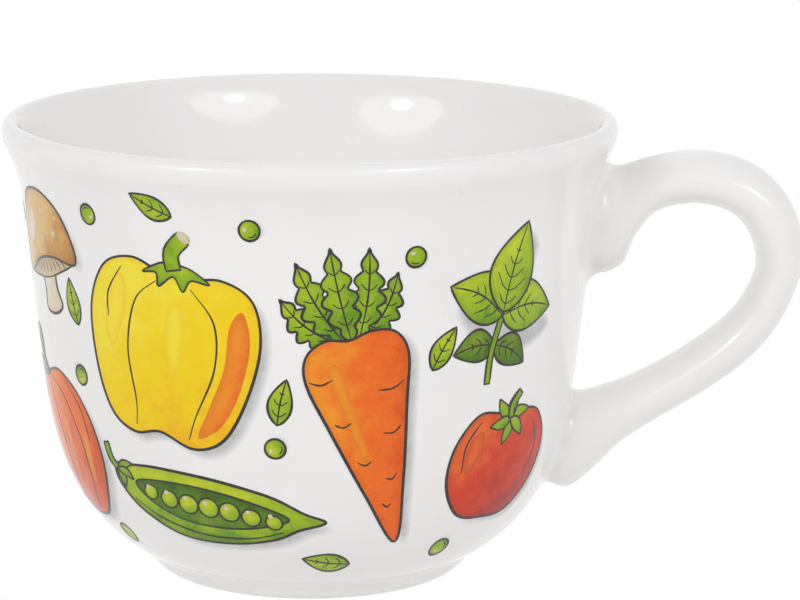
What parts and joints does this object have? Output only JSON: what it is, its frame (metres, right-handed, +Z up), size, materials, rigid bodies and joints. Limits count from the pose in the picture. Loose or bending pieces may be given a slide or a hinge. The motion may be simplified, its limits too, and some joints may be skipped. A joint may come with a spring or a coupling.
{
  "type": "soup mug",
  "caption": "Wide round soup mug: a flared bowl with a rounded lip on a foot ring, one loop handle joined at two lugs, and small vegetable transfers on the wall.",
  "frame": {"origin": "centre of the foot ring in the plane it stands on, which is the mouth of the recess under the mug", "axes": "+Z up along the axis of the bowl, +X from the axis towards the handle"},
  "size_m": [0.1616, 0.124, 0.0926],
  "materials": {
    "glaze": "gloss",
    "bare_clay": "matte",
    "print_orange": "gloss",
    "print_red": "gloss",
    "print_green": "gloss",
    "print_yellow": "gloss",
    "print_cream": "gloss",
    "print_pink": "gloss"
  },
  "bodies": {
    "root": {"bowl": "glaze", "foot_ring": "bare_clay", "handle": "glaze", "upper_handle_joint": "glaze", "lower_handle_joint": "glaze", "carrot_transfer": "print_orange", "pepper_transfer": "print_yellow", "pea_pod_transfer": "print_green", "pumpkin_transfer": "print_orange", "tomato_transfer": "print_red", "basil_transfer": "print_green", "broccoli_transfer": "print_green", "mushroom_transfer": "print_cream", "onion_transfer": "print_yellow", "radish_transfer": "print_pink", "corn_transfer": "print_yellow", "chilli_transfer": "print_red", "loose_peas_transfer": "print_green", "loose_leaves_transfer": "print_green"}
  },
  "joints": []
}
